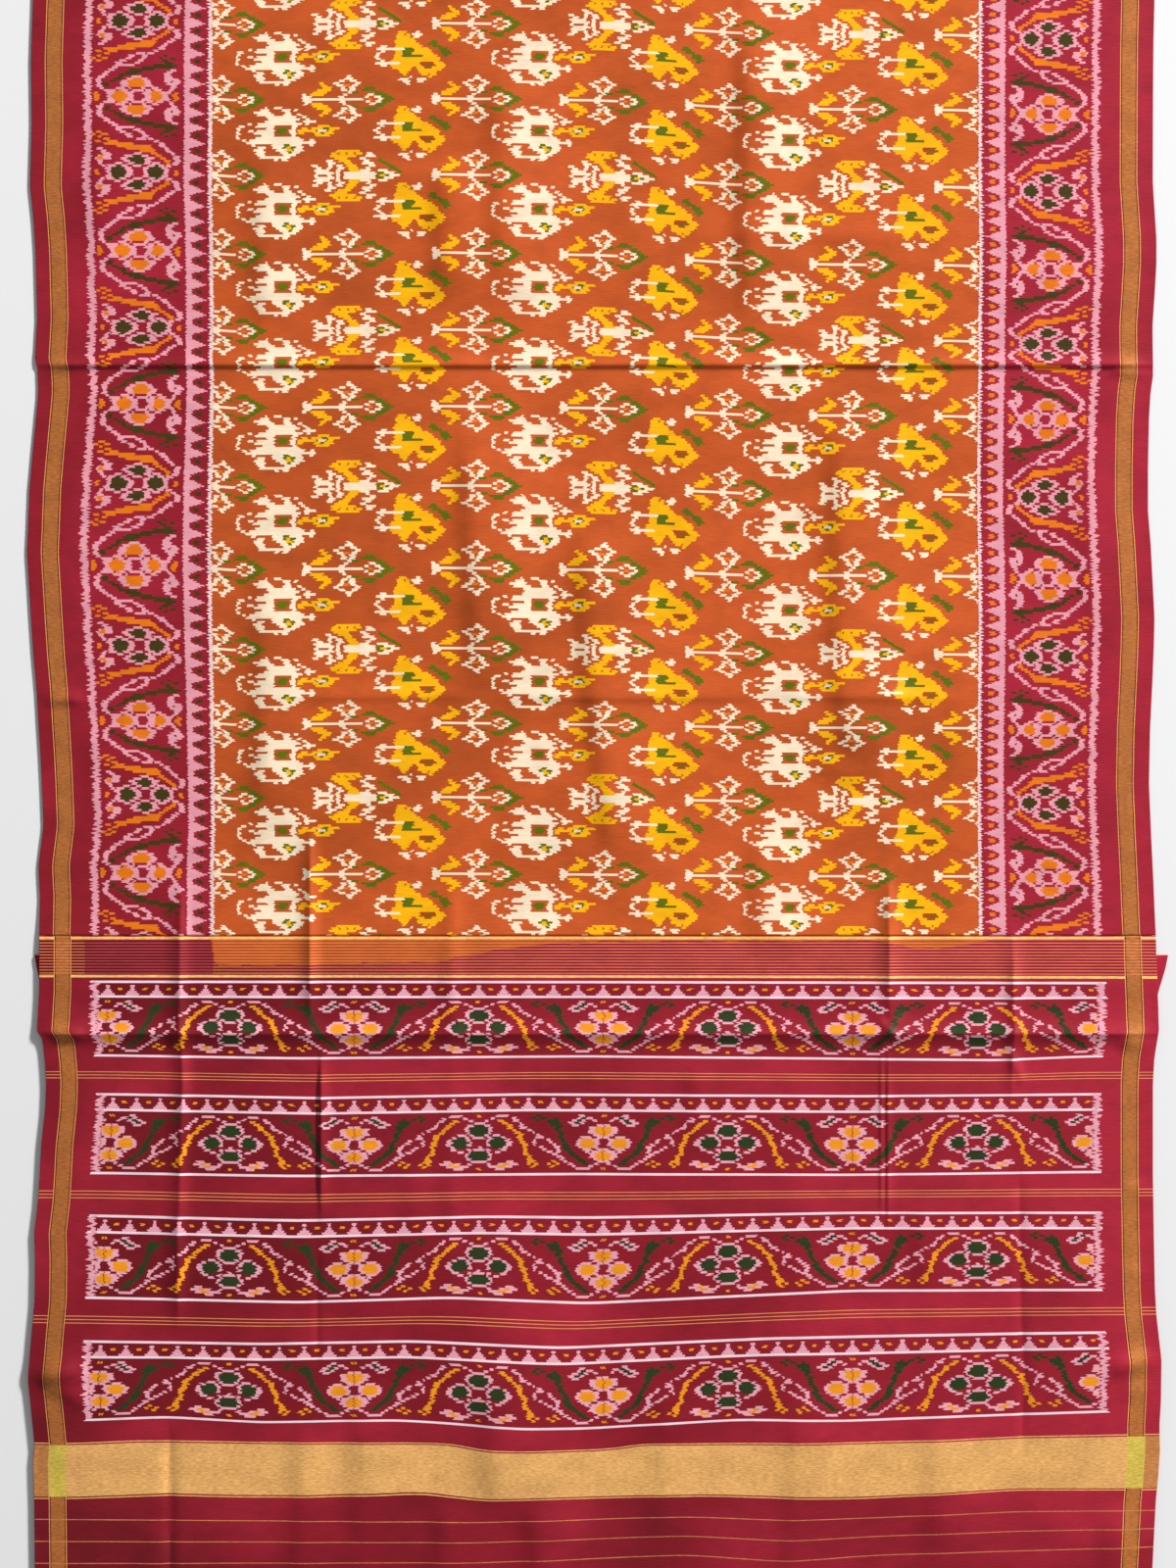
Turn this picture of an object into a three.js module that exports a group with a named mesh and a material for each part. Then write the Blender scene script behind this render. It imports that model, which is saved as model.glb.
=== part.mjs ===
import * as THREE from "three";

// A single ikat silk saree laid out face up and folded under itself, so that the
// pallu, its stripes and the start of the patterned body lie on three hidden layers.
// Millimetres, Z up. Two working coordinates place every point: x across the cloth
// from its centre line, and v along it from the free end of the pallu.

// Driving dimensions
const CLOTH_WIDTH = 1143;
const STORAGE_PITCH = 683;
const LAID_LENGTH = 3 * STORAGE_PITCH;
const PALLU_LENGTH = 783;
const WALL = 1.2;
const SEAM_GAP = 0.3;
const HIDDEN_LAYER = 1.2;
const HIDDEN_LAYERS = 3;
const HEM_WIDTH = 6;
const HEM_RISE = 0.7;
const FOLD_LIFT = 2.3;
const FOLD_RETURN = 18;

// The widest bulge of the left selvedge and the tip of the right tab, whose middle
// is the part's X origin.
const BOX_MIDDLE_X = 2.45;

const COLOURS = { field: 0xc2532c, pallu: 0xa51f3a, hidden: 0x87152b };

// How far each selvedge strays from the loom's straight edge, positive to the right.
const SELVEDGES = [
  { v: 0, left: -1.0, right: -2.0 },
  { v: 138, left: -1.0, right: -2.5 },
  { v: 206, left: -1.7, right: 1.0 },
  { v: 257, left: -2.0, right: 5.2 },
  { v: 308, left: -5.8, right: 6.2 },
  { v: 340, left: -7.5, right: 6.7 },
  { v: 375, left: -4.6, right: 4.0 },
  { v: 410, left: -1.2, right: 0.8 },
  { v: 479, left: -1.7, right: -1.0 },
  { v: 538, left: 3.9, right: -2.0 },
  { v: 606, left: 9.5, right: -2.0 },
  { v: 632, left: 10.5, right: -2.0 },
  { v: 668, left: 7.5, right: 1.0 },
  { v: 679, left: 5.5, right: 3.2 },
  { v: 685, left: 1.3, right: 4.0 },
  { v: 710, left: 2.3, right: 3.6 },
  { v: 783, left: 3.4, right: 1.0 },
  { v: 854, left: 2.5, right: -2.0 },
  { v: 895, left: 7.5, right: -3.8 },
  { v: 938, left: 5.9, right: -5.6 },
  { v: 1001, left: 2.3, right: -4.3 },
  { v: 1070, left: -2.8, right: -1.0 },
  { v: 1134, left: -6.8, right: -1.2 },
  { v: 1175, left: -9.4, right: -3.5 },
  { v: 1239, left: -6.8, right: -6.6 },
  { v: 1279, left: -3.3, right: -6.4 },
  { v: 1338, left: 2.3, right: -4.0 },
  { v: 1361, left: 1.3, right: -1.8 },
  { v: 1373, left: -1.2, right: -2.0 },
  { v: 1414, left: 1.1, right: -1.6 },
  { v: 1470, left: -0.3, right: 2.0 },
  { v: 1516, left: -2.8, right: 1.0 },
  { v: 1549, left: -6.3, right: -1.5 },
  { v: 1677, left: -5.3, right: -1.0 },
  { v: 1738, left: -3.3, right: 0.0 },
  { v: 1850, left: 1.0, right: -2.0 },
  { v: 1950, left: -2.0, right: 2.0 },
  { v: LAID_LENGTH, left: 0.0, right: 0.0 },
];

// Storage creases from edge to edge: a crest with a long slope on the far side, and
// a short drop on the near side into a shallow dip.
const CROSS_CREASES = [
  { v: STORAGE_PITCH, rise: 4.2, slope: 52, drop: 6, dip: 0.8, dipReach: 40 },
  { v: 2 * STORAGE_PITCH, rise: 2.8, slope: 41, drop: 7, dip: 0.6, dipReach: 34 },
];

// Storage creases along the length: a ridge rises, a valley sinks.
const LONG_CREASES = [
  { x: -425, rise: -2.4, halfWidth: 13, from: 90, to: 960 },
  { x: -287, rise: 2.8, halfWidth: 13, from: 470, to: 930 },
  { x: -143, rise: -1.0, halfWidth: 22, from: 200, to: 1250 },
  { x: 0, rise: 0.9, halfWidth: 24, from: 250, to: 1500 },
  { x: 145, rise: -0.9, halfWidth: 22, from: 400, to: 1300 },
  { x: 297, rise: 2.6, halfWidth: 13, from: 140, to: 920 },
  { x: 432, rise: -1.6, halfWidth: 14, from: 180, to: 1000 },
];

// Soft pockets of air between the creases, and the pinch where two creases cross.
const PUFFS = [
  { x: -500, v: 360, rise: 2.2, across: 70, along: 120 },
  { x: -355, v: 500, rise: 1.8, across: 60, along: 160 },
  { x: -214, v: 420, rise: 1.6, across: 70, along: 150 },
  { x: -85, v: 330, rise: 2.6, across: 70, along: 110 },
  { x: 71, v: 520, rise: 1.6, across: 70, along: 140 },
  { x: 214, v: 380, rise: 2.0, across: 70, along: 130 },
  { x: 297, v: 690, rise: 2.0, across: 34, along: 60 },
  { x: 364, v: 480, rise: 1.8, across: 60, along: 140 },
  { x: 500, v: 370, rise: 2.6, across: 60, along: 120 },
  { x: -214, v: 1060, rise: 1.2, across: 110, along: 180 },
  { x: 214, v: 1180, rise: 1.2, across: 120, along: 190 },
  { x: -355, v: 1560, rise: 1.4, across: 110, along: 160 },
  { x: 364, v: 1640, rise: 1.4, across: 120, along: 180 },
  { x: 30, v: 1820, rise: 1.2, across: 150, along: 160 },
];

// Where the hidden layers change in number along the cloth, each over a short ramp.
const HIDDEN_ENDS = [
  { v: 4.5, layers: 2 },
  { v: 146, layers: 2 },
  { v: 154, layers: 3 },
  { v: 760, layers: 3 },
  { v: 770, layers: 1 },
  { v: LAID_LENGTH, layers: 1 },
];

// How the top layer drapes down past those ends, always clear of them
const DRAPE = [
  { v: 0, layers: 2 },
  { v: 102, layers: 2 },
  { v: 122, layers: 2.5 },
  { v: 142, layers: 3 },
  { v: 772, layers: 3 },
  { v: 786, layers: 2.4 },
  { v: 801, layers: 1.5 },
  { v: 819, layers: 1 },
  { v: LAID_LENGTH, layers: 1 },
];

// Corners of the hidden fold that stick out past the selvedges.
const TAB = { top: 758.5, foot: 712, right: 12.3, left: 5.0 };

// Small helpers for tables and blends
const clamp01 = (t) => Math.min(1, Math.max(0, t));

function smooth(t) {
  const s = clamp01(t);
  return s * s * (3 - 2 * s);
}

function lookUp(table, v, column) {
  const last = table[table.length - 1];
  if (v <= table[0].v) return table[0][column];
  if (v >= last.v) return last[column];
  const next = table.findIndex((row) => row.v > v);
  const a = table[next - 1];
  const b = table[next];
  return a[column] + ((b[column] - a[column]) * (v - a.v)) / (b.v - a.v);
}

// Where a point of the flat cloth lies across the table: the selvedges carry their
// neighbourhood with them and leave the middle of the cloth where it is.
const SELVEDGE_PULL = 260;

function laidX(x, v) {
  const fromLeft = x + CLOTH_WIDTH / 2;
  const fromRight = CLOTH_WIDTH / 2 - x;
  const left = lookUp(SELVEDGES, v, "left") * (1 - smooth(fromLeft / SELVEDGE_PULL));
  const right = lookUp(SELVEDGES, v, "right") * (1 - smooth(fromRight / SELVEDGE_PULL));
  return x + left + right;
}

// Height of the hidden layers, and the height at which the top layer rests on them
function hiddenHeight(v) {
  return HIDDEN_LAYER * lookUp(HIDDEN_ENDS, v, "layers");
}

function restHeight(v) {
  return HIDDEN_LAYER * lookUp(DRAPE, v, "layers") + SEAM_GAP;
}

// Relief of the top layer above its rest: the folds of storage and the air beneath
const PAD_NEAR = 1.9;
const PAD_FAR = 1.3;
const PAD_BLEND = 300;
const CREASE_FADE = 140;
const RIM_REACH = 36;
const RIM_SHARE = 0.3;
const HEM_REACH = 90;
const FOLD_REACH = 110;

function crossRise(crease, v) {
  const past = v - crease.v;
  if (past >= 0) return crease.rise * (1 - smooth(past / crease.slope));
  const fallen = smooth(-past / crease.drop);
  const dip = crease.dip * smooth(1 + past / crease.dipReach);
  return crease.rise * (1 - fallen) - dip * fallen;
}

function longRise(crease, x, v) {
  const side = Math.max(0, 1 - Math.abs(x - crease.x) / crease.halfWidth);
  const start = smooth((v - crease.from) / CREASE_FADE);
  const end = smooth((crease.to - v) / CREASE_FADE);
  return crease.rise * side * start * end;
}

function puffRise(puff, x, v) {
  const reach = ((x - puff.x) / puff.across) ** 2 + ((v - puff.v) / puff.along) ** 2;
  return puff.rise * Math.exp(-reach);
}

function lift(x, v) {
  let rise = PAD_FAR + (PAD_NEAR - PAD_FAR) * (1 - smooth((v - STORAGE_PITCH) / PAD_BLEND));
  for (const crease of CROSS_CREASES) rise += crossRise(crease, v);
  for (const crease of LONG_CREASES) rise += longRise(crease, x, v);
  for (const puff of PUFFS) rise += puffRise(puff, x, v);
  const inFromRim = CLOTH_WIDTH / 2 - Math.abs(x);
  const rim = RIM_SHARE + (1 - RIM_SHARE) * smooth(inFromRim / RIM_REACH);
  const nearEnd = smooth(v / HEM_REACH);
  const farEnd = smooth((LAID_LENGTH - v) / FOLD_REACH);
  const free = Math.max(0, rise) * rim * nearEnd;
  return free * farEnd + FOLD_LIFT * (1 - farEnd);
}

// Columns across the cloth: three on each sharp crease, one on each soft one, one on
// each pocket between them, and three close to each selvedge.
const SHARP_CREASE = 20;
const RIM_COLUMNS = [0, 6, 26];
const POCKET_COLUMNS = [-500, -355, -214, -71, 71, 214, 364, 490];

function columns() {
  const list = [...POCKET_COLUMNS];
  for (const inset of RIM_COLUMNS) list.push(inset - CLOTH_WIDTH / 2, CLOTH_WIDTH / 2 - inset);
  for (const { x, halfWidth } of LONG_CREASES) {
    list.push(x);
    if (halfWidth < SHARP_CREASE) list.push(x - halfWidth, x + halfWidth);
  }
  return list.sort((a, b) => a - b);
}

// Rows along one stretch of cloth: every row of the selvedge and drape tables, the
// shoulders of the cross creases, and the two ends of the stretch.
const SLOPE_SHARES = [0, 0.3, 0.62];

function rowsBetween(start, end) {
  const list = [start, end];
  for (const row of SELVEDGES) list.push(row.v);
  for (const row of DRAPE) list.push(row.v);
  for (const crease of CROSS_CREASES) {
    for (const share of SLOPE_SHARES) list.push(crease.v + crease.slope * share);
  }
  const inside = list.filter((v) => v >= start && v <= end);
  return [...new Set(inside)].sort((a, b) => a - b);
}

// A closed wall from rows of paired points, outer face first and inner face behind it
function closedWall(rows) {
  const rowCount = rows.length;
  const columnCount = rows[0].length;
  const positions = [];
  for (const side of ["outer", "inner"]) {
    for (const row of rows) {
      for (const point of row) positions.push(...point[side]);
    }
  }
  const outer = (i, j) => i * columnCount + j;
  const inner = (i, j) => rowCount * columnCount + i * columnCount + j;
  const faces = [];
  const quad = (a, b, c, d) => faces.push(a, b, c, a, c, d);
  for (let i = 0; i < rowCount - 1; i += 1) {
    for (let j = 0; j < columnCount - 1; j += 1) {
      quad(outer(i, j), outer(i, j + 1), outer(i + 1, j + 1), outer(i + 1, j));
      quad(inner(i, j), inner(i + 1, j), inner(i + 1, j + 1), inner(i, j + 1));
    }
  }
  const lastRow = rowCount - 1;
  const lastColumn = columnCount - 1;
  for (let j = 0; j < lastColumn; j += 1) {
    quad(inner(0, j), inner(0, j + 1), outer(0, j + 1), outer(0, j));
    quad(outer(lastRow, j), outer(lastRow, j + 1), inner(lastRow, j + 1), inner(lastRow, j));
  }
  for (let i = 0; i < lastRow; i += 1) {
    quad(inner(i + 1, 0), inner(i, 0), outer(i, 0), outer(i + 1, 0));
    quad(inner(i, lastColumn), inner(i + 1, lastColumn), outer(i + 1, lastColumn), outer(i, lastColumn));
  }
  return meshGeometry(positions, faces);
}

function meshGeometry(positions, faces) {
  const geometry = new THREE.BufferGeometry();
  geometry.setAttribute("position", new THREE.Float32BufferAttribute(positions, 3));
  geometry.setIndex(faces);
  geometry.computeVertexNormals();
  return geometry;
}

function clothMaterial(colour) {
  return new THREE.MeshStandardMaterial({ color: colour, roughness: 0.6, metalness: 0 });
}

const placeX = (x) => x - BOX_MIDDLE_X;
const placeY = (v) => v - LAID_LENGTH / 2;

// One row of the top layer lying face up, with an extra rise on the outer face
function laidRow(v, extra) {
  return columns().map((x) => {
    const px = placeX(laidX(x, v));
    const z = restHeight(v) + lift(x, v);
    return { outer: [px, placeY(v), z + WALL + extra], inner: [px, placeY(v), z] };
  });
}

// The top layer turns down and under at the far end: a round nose, then a short
// return that lies flat on the table in front of the hidden layers.
const NOSE_STEPS = 6;

function foldRows() {
  const outerRadius = (restHeight(LAID_LENGTH) + FOLD_LIFT + WALL) / 2;
  const noseV = LAID_LENGTH - outerRadius;
  const returnY = placeY(LAID_LENGTH - FOLD_RETURN);
  const ring = (px, radius, angle) => {
    return [px, placeY(noseV + radius * Math.cos(angle)), outerRadius + radius * Math.sin(angle)];
  };
  const foldX = columns().map((x) => placeX(laidX(x, LAID_LENGTH)));
  const rows = [];
  for (let step = 0; step <= NOSE_STEPS; step += 1) {
    const angle = Math.PI / 2 - (Math.PI * step) / NOSE_STEPS;
    rows.push(foldX.map((px) => {
      return { outer: ring(px, outerRadius, angle), inner: ring(px, outerRadius - WALL, angle) };
    }));
  }
  rows.push(foldX.map((px) => ({ outer: [px, returnY, 0], inner: [px, returnY, WALL] })));
  return rows;
}

// The patterned field with its two borders, from the pallu's first gold line to the
// far fold and round it
function fieldStretch() {
  const start = PALLU_LENGTH + SEAM_GAP / 2;
  const flat = rowsBetween(start, LAID_LENGTH - 40);
  const rows = [...flat.map((v) => laidRow(v, 0)), ...foldRows()];
  const mesh = new THREE.Mesh(closedWall(rows), clothMaterial(COLOURS.field));
  mesh.name = "field_stretch";
  return mesh;
}

// The pallu, from its narrow rolled hem to the gold line that it shares with the field
function palluStretch() {
  const end = PALLU_LENGTH - SEAM_GAP / 2;
  const hem = [0, HEM_WIDTH].map((v) => laidRow(v, HEM_RISE));
  const flat = rowsBetween(HEM_WIDTH + 2, end).map((v) => laidRow(v, 0));
  const mesh = new THREE.Mesh(closedWall([...hem, ...flat]), clothMaterial(COLOURS.pallu));
  mesh.name = "pallu_stretch";
  return mesh;
}

// The hidden layers: one rounded body whose rim shows the edge of each layer, each
// edge straying a little from the selvedge above it
const HIDDEN_INSET = 4.6;
const HIDDEN_STRAY = 1.5;
const HIDDEN_WAVES = [
  { length: 520, left: 0.0, right: 1.3 },
  { length: 630, left: 2.1, right: 3.4 },
  { length: 730, left: 4.2, right: 5.5 },
];
const TAB_LAYERS = 2;
const TAB_LAYER_STEP = 0.8;
const GROOVE = 1.1;
const RIM_ROUND = 0.3;

function hiddenEdge(side, layer, v) {
  const hand = side > 0 ? "right" : "left";
  const wave = HIDDEN_WAVES[layer];
  const inset = HIDDEN_INSET + HIDDEN_STRAY * Math.sin((2 * Math.PI * v) / wave.length + wave[hand]);
  let edge = CLOTH_WIDTH / 2 - inset + side * lookUp(SELVEDGES, v, hand);
  if (layer < TAB_LAYERS && v <= TAB.top && v > TAB.foot) {
    const share = (v - TAB.foot) / (TAB.top - TAB.foot);
    edge += (inset + TAB[hand] - layer * TAB_LAYER_STEP) * share;
  }
  return side * edge;
}

// One section of the hidden body at v, squeezed towards its middle at a rounded end
function hiddenSection(v, squeeze) {
  const height = hiddenHeight(v);
  const step = height / HIDDEN_LAYERS;
  const groove = (GROOVE * (height - HIDDEN_LAYER)) / (HIDDEN_LAYER * (HIDDEN_LAYERS - 1));
  const levelZ = (level) => height / 2 + (level - height / 2) * squeeze;
  const rim = (side) => {
    const points = [];
    for (let layer = 0; layer < HIDDEN_LAYERS; layer += 1) {
      const edge = hiddenEdge(side, layer, v);
      points.push([edge - side * (groove + RIM_ROUND), levelZ(layer * step)]);
      points.push([edge, levelZ((layer + 0.5) * step)]);
    }
    const topEdge = hiddenEdge(side, HIDDEN_LAYERS - 1, v);
    points.push([topEdge - side * (groove + RIM_ROUND), levelZ(height)]);
    return points;
  };
  const loop = [...rim(1), ...rim(-1).reverse()];
  return loop.map(([x, z]) => [placeX(x), placeY(v), z]);
}

// A solid through closed sections of equal length, with flat caps
function loft(sections) {
  const count = sections[0].length;
  const positions = sections.flat(2);
  const faces = [];
  for (let i = 0; i < sections.length - 1; i += 1) {
    for (let j = 0; j < count; j += 1) {
      const next = (j + 1) % count;
      const a = i * count + j;
      const b = i * count + next;
      const c = (i + 1) * count + next;
      const d = (i + 1) * count + j;
      faces.push(a, c, b, a, d, c);
    }
  }
  const cap = (section, base, flip) => {
    const outline = section.map(([x, , z]) => new THREE.Vector2(x, z));
    for (const [a, b, c] of THREE.ShapeUtils.triangulateShape(outline, [])) {
      faces.push(base + a, base + (flip ? c : b), base + (flip ? b : c));
    }
  };
  cap(sections[0], 0, false);
  cap(sections[sections.length - 1], (sections.length - 1) * count, true);
  return meshGeometry(positions, faces);
}

// Its near end is a fold, rounded over three stations, and its far end is cut square
// against the return of the top fold.
const NEAR_ROUNDING = [
  { past: 0, squeeze: 0.3 },
  { past: 0.35, squeeze: 0.75 },
  { past: 1.2, squeeze: 1 },
];
const STATION_PITCH = 62;
const TAB_STEP = 1.2;

function underLayers() {
  const start = HIDDEN_ENDS[0].v;
  const farEnd = LAID_LENGTH - FOLD_RETURN - SEAM_GAP;
  const stations = [farEnd, TAB.foot, TAB.top, TAB.top + TAB_STEP];
  for (const row of HIDDEN_ENDS.slice(1, -1)) stations.push(row.v);
  for (let v = start + STATION_PITCH; v < farEnd - STATION_PITCH / 2; v += STATION_PITCH) stations.push(v);
  stations.sort((a, b) => a - b);
  const sections = NEAR_ROUNDING.map(({ past, squeeze }) => hiddenSection(start + past, squeeze));
  for (const v of stations) sections.push(hiddenSection(v, 1));
  const mesh = new THREE.Mesh(loft(sections), clothMaterial(COLOURS.hidden));
  mesh.name = "under_layers";
  return mesh;
}

const saree = new THREE.Group();
saree.name = "saree";
saree.add(fieldStretch(), palluStretch(), underLayers());

export default saree;
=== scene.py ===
import math

import bpy
import numpy as np
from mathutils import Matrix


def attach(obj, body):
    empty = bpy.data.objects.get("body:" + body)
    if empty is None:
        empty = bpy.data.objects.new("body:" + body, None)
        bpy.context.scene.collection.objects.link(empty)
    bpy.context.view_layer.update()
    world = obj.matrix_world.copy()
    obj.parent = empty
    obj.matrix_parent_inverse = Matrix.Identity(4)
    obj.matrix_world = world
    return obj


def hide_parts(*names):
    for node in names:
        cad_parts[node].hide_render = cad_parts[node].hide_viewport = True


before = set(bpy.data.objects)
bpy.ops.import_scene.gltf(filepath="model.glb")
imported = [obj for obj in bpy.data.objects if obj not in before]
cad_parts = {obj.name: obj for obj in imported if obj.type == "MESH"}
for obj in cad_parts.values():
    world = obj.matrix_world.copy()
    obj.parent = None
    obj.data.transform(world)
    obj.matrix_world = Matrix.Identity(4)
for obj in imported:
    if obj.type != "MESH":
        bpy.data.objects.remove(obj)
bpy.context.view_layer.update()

# The patterned body: silk whose threads are dyed in bundles before weaving (ikat), so that
# every motif has a feathered edge. It has no seams. It is laid face up, its far end turns
# down and under in a soft fold, and the folds in which it was stored still stand in it.
# Sizes in this file are millimetres until a mesh is made. Two working coordinates place
# every point: x across the cloth from its centre line, v along it from the pallu's end.
MM = 0.001
CLOTH_WIDTH = 1143.0
HALF_WIDTH = CLOTH_WIDTH / 2
STORAGE_PITCH = 683.0
LAID_LENGTH = 3 * STORAGE_PITCH
PALLU_LENGTH = 783.0
SEAM_GAP = 0.3
SILK = 0.5
LAYER_PITCH = 1.2
FOLD_LIFT = 2.3
FOLD_RETURN = 18.0
MIDDLE_X = 2.45

# How far each selvedge strays from the loom's straight edge, positive to the right
LEFT_STRAY = {
    0: -1.0, 138: -1.0, 206: -1.7, 245: -2.8, 262: -1.2, 308: -5.8, 326: -7.8, 339: -7.3,
    372: -4.8, 410: -1.2, 451: -0.7, 479: -1.7, 512: 2.3, 538: 3.9, 568: 5.4, 606: 9.5,
    632: 10.5, 650: 9.5, 670: 7.5, 678: 6.3, 686: 1.3, 708: 2.3, 726: 3.4, 785: 3.4,
    823: 3.9, 854: 2.3, 895: 7.5, 938: 5.9, 968: 4.4, 1001: 2.3, 1032: 0.6, 1070: -2.8,
    1108: -5.3, 1134: -6.8, 1175: -9.4, 1195: -8.4, 1239: -6.8, 1279: -3.3, 1338: 2.3,
    1363: 1.3, 1373: -1.2, 1414: 1.1, 1483: -0.7, 1516: -2.8, 1549: -6.3, 1613: -4.5,
    1677: -5.3, 1738: -3.3, 1850: 1.0, 1950: -2.0, 2049: 0.0,
}
RIGHT_STRAY = {
    0: -2.0, 138: -2.5, 168: -1.0, 206: 1.0, 232: 3.6, 257: 5.2, 283: 4.7, 308: 6.2,
    349: 6.7, 359: 5.7, 395: 1.6, 423: 0.0, 474: -1.0, 538: -2.0, 632: -2.0, 657: -0.5,
    680: 3.0, 687: 4.0, 708: 3.6, 759: 1.6, 785: 1.0, 836: -1.0, 887: -3.5, 938: -5.6,
    994: -4.5, 1045: -2.0, 1083: -0.5, 1108: 0.0, 1147: -2.0, 1185: -4.0, 1216: -6.6,
    1261: -6.6, 1312: -5.6, 1338: -4.0, 1355: -1.5, 1406: -2.0, 1445: 0.6, 1470: 2.0,
    1496: 2.0, 1534: -0.5, 1554: -1.7, 1636: -1.5, 1697: -1.0, 1738: 0.0, 1850: -2.0,
    1950: 2.0, 2049: 0.0,
}
SELVEDGE_PULL = 260.0

# The number of hidden layers that the top layer rests on
DRAPE = {0: 2, 102: 2, 122: 2.5, 142: 3, 772: 3, 786: 2.4, 801: 1.5, 819: 1, 2049: 1}

# Storage creases from edge to edge: (v, rise, far slope, near drop, dip, reach of the dip)
CROSS_CREASES = [
    (STORAGE_PITCH, 4.6, 26, 18, 0.9, 46),
    (2 * STORAGE_PITCH, 3.0, 20, 6, 0.7, 34),
]

# Creases along the length, sharp at the crest: (x, rise, left width, right width, from, to)
LONG_CREASES = [
    (-425, 4.8, 20, 13, 370, 850),
    (-434, -3.0, 13, 14, 60, 300),
    (-291, 5.4, 18, 14, 681, 905),
    (-280, 4.2, 5, 14, 480, 681),
    (-284, -1.4, 9, 9, 330, 480),
    (-147, 3.0, 18, 22, 650, 860),
    (-147, 1.5, 16, 16, 400, 700),
    (-64, -1.0, 3, 3, 600, 665),
    (175, 1.2, 12, 16, 690, 775),
    (300, 4.8, 18, 18, 686, 860),
    (292, 2.2, 3.5, 4, 480, 681),
    (298.5, 2.0, 3.5, 10, 470, 679),
    (426, 3.6, 16, 15, 600, 800),
    (434, -1.8, 11, 13, 240, 560),
]

# Pockets of air between the creases: (x, v, rise, reach across, reach along)
POCKETS = [
    (-500, 360, 2.2, 70, 120),
    (-355, 500, 1.8, 60, 160),
    (-214, 420, 1.6, 70, 150),
    (-85, 330, 2.6, 70, 110),
    (71, 520, 1.6, 70, 140),
    (214, 380, 2.0, 70, 130),
    (297, 690, 2.0, 34, 60),
    (364, 480, 1.8, 60, 140),
    (500, 370, 2.6, 60, 120),
    (-214, 1060, 1.2, 110, 180),
    (214, 1180, 1.2, 120, 190),
    (-355, 1560, 1.4, 110, 160),
    (364, 1640, 1.4, 120, 180),
    (30, 1820, 1.2, 150, 160),
]

# Soft ridges and fine creases, each from a lower point to a higher one, or from left to
# right: (x, v, x, v, rise, width on the left or above, width on the right or below)
FINE_CREASES = [
    (0, 1000, -10, 1215, 5.4, 13, 55),
    (22, 840, -2, 1065, 5.0, 13, 50),
    (158, 1370, 158, 1760, 5.8, 14, 60),
    (-113, 1010, -132, 1335, 5.4, 14, 60),
    (-92, 1410, -98, 1690, 3.8, 14, 45),
    (252, 1010, 251, 1330, 5.2, 13, 55),
    (265, 955, 251, 1070, 4.0, 13, 40),
    (250, 968, 314, 1056, 3.6, 11, 26),
    (-335, 1380, -340, 1600, 3.4, 13, 40),
    (-337, 850, -337, 1200, 4.4, 13, 45),
    (-151, 1420, -154, 1585, 4.6, 13, 40),
    (172, 760, 166, 890, 3.8, 12, 36),
    (215, 955, 315, 953, 2.4, 30, 12),
    (-357, 1027, -100, 1028, 1.4, 10, 5),
    (-110, 1026, 180, 1027, 1.6, 10, 5),
    (170, 1028, 392, 1026, 1.4, 10, 5),
    (-420, 1180, -180, 1176, 1.0, 8, 6),
    (60, 1215, 330, 1221, 1.0, 9, 6),
    (-300, 1560, -40, 1566, 1.0, 9, 7),
    (90, 1500, 380, 1494, 1.2, 9, 6),
    (440, 628, 422, 664, 2.0, 4, 6),
    (284, 702, 318, 670, 2.0, 4, 5),
    (287, 666, 313, 708, 2.0, 4, 5),
    (-600, 334, -508, 337, 6.4, 14, 7),
    (-566, 338, -508, 300, 3.6, 15, 8),
    (-571, 1023, -520, 1024, 3.0, 10, 5),
    (-571, 680, -520, 684, 3.4, 8, 7),
    (-570, 1360, -520, 1366, 2.0, 7, 5),
    (515, 338, 572, 354, 4.6, 10, 8),
    (530, 318, 570, 322, 2.0, 7, 6),
    (530, 674, 572, 669, 3.2, 8, 7),
    (525, 1360, 571, 1356, 2.6, 8, 5),
    (538, 523, 566, 527, 2.2, 7, 5),
    (540, 437, 566, 440, 2.0, 7, 5),
    (545, 905, 570, 902, 1.6, 7, 6),
    (-235, 130, -233, 330, 3.4, 16, 48),
    (-300, 90, -298, 310, 3.0, 12, 30),
    (-154, 80, -152, 215, 3.2, 13, 40),
    (-98, 180, -104, 360, 4.4, 18, 60),
    (-53, 80, -57, 215, 4.6, 15, 45),
    (70, 140, 74, 330, 2.4, 16, 50),
    (205, 100, 209, 340, 2.8, 15, 48),
    (352, 120, 348, 310, 2.6, 15, 44),
    (530, 70, 530, 210, 3.4, 12, 30),
    (-455, 20, -448, 190, 2.4, 13, 40),
    (-20, 10, -26, 100, 2.0, 15, 40),
    (330, 420, 336, 520, 1.8, 9, 22),
    (-190, 455, -186, 560, 1.6, 9, 24),
    (98, 560, 104, 668, 1.8, 9, 24),
    (-520, 880, -512, 1010, 1.8, 10, 26),
    (508, 1080, 512, 1290, 2.2, 12, 30),
    (-508, 1420, -500, 1640, 2.2, 12, 30),
    (-300, 1770, -290, 1990, 3.4, 14, 40),
    (60, 1790, 70, 2000, 3.0, 14, 45),
    (380, 1780, 372, 1970, 3.2, 14, 40),
    (-420, 1895, -60, 1899, 1.6, 9, 6),
    (40, 1902, 470, 1896, 1.8, 9, 6),
]

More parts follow.
